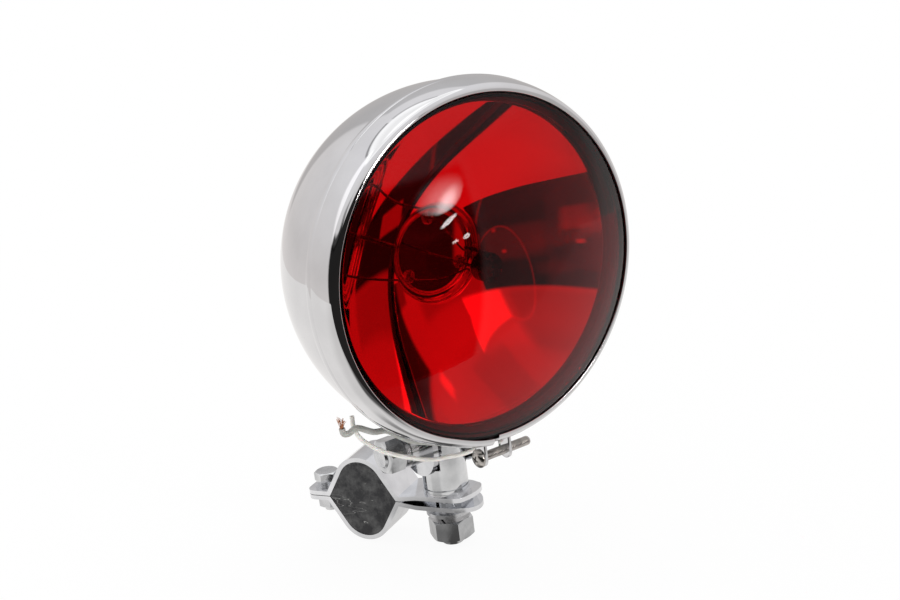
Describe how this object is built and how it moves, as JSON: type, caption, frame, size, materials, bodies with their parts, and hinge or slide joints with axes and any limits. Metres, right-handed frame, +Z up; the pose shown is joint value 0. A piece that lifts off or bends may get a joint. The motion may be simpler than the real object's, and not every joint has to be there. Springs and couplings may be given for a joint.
{
  "type": "bar-mounted spotlamp",
  "caption": "Round sealed-beam spotlamp with a red glass lens, a chrome shell and rim, a tilting and swivelling post and a rubber-lined bar clamp.",
  "frame": {"origin": "centre of the bar bore in the clamp, on the plane where the two clamp straps meet", "axes": "+Z is up along the swivel stud, the lamp faces -Y, and +X is the lamp's right seen from the front; the bar runs at 30 degrees from +X towards +Y"},
  "size_m": [0.1502, 0.1301, 0.2109],
  "materials": {
    "shell_chrome": "polished chrome plate on pressed steel",
    "rim_chrome": "polished chrome plate on rolled steel",
    "screw_nickel": "dull nickel plate",
    "red_glass": "clear pressed glass, deep red",
    "black_rubber": "matt black",
    "mirror_glass": "aluminised glass",
    "zinc_sheet": "zinc plate, satin",
    "tungsten": "dull",
    "nickel_wire": "satin",
    "tinned_steel": "tinned",
    "brass_lug": "plain brass",
    "grey_insulation": "soft vinyl",
    "white_insulation": "soft vinyl",
    "copper": "bare copper strands",
    "bracket_steel": "thin chrome plate",
    "zinc_steel": "bright zinc plate",
    "collar_steel": "turned steel",
    "spring_steel": "zinc plate",
    "dark_steel": "dark, toothed",
    "post_steel": "turned steel, thin nickel plate",
    "clamp_chrome": "thin chrome plate on steel strip",
    "clamp_rubber": "matt black, lightly scuffed",
    "nut_steel": "zinc plate, worn"
  },
  "bodies": {
    "clamp": {"upper_clamp": "clamp_chrome", "lower_clamp": "clamp_chrome", "clamp_rubber": "clamp_rubber", "clamp_bolt": "zinc_steel", "clamp_bolt_washers": "zinc_steel", "clamp_bolt_nut": "zinc_steel"},
    "post": {"swivel_post": "post_steel", "post_washer": "zinc_steel", "stud_washer": "zinc_steel", "stud_spring_washer": "spring_steel", "stud_nut": "nut_steel"},
    "head": {"shell": "shell_chrome", "rim": "rim_chrome", "rim_screw": "screw_nickel", "lens": "red_glass", "gasket": "black_rubber", "reflector": "mirror_glass", "seat_ring": "zinc_sheet", "filament": "tungsten", "filament_shield": "nickel_wire", "filament_posts": "nickel_wire", "beam_terminals": "tinned_steel", "lead_lugs": "brass_lug", "inner_leads": "grey_insulation", "lead_grommet": "black_rubber", "lead_grey": "grey_insulation", "lead_white": "white_insulation", "bare_strands": "copper", "tilt_bracket": "bracket_steel", "bracket_rivets": "zinc_steel", "tilt_bolt": "zinc_steel", "tilt_collar": "collar_steel", "tilt_spring_washer": "spring_steel", "tilt_nut": "zinc_steel", "tooth_rings": "dark_steel"}
  },
  "joints": [
    {"name": "swivel", "type": "hinge", "parent": "clamp", "child": "post", "pos_m": [0.0186, -0.03222, 0], "axis": [0, 0, 1], "range_deg": [-40, 90]},
    {"name": "tilt", "type": "hinge", "parent": "post", "child": "head", "pos_m": [0.0186, -0.03222, 0.028], "axis": [1, 0, 0], "range_deg": [-45, 30]}
  ]
}
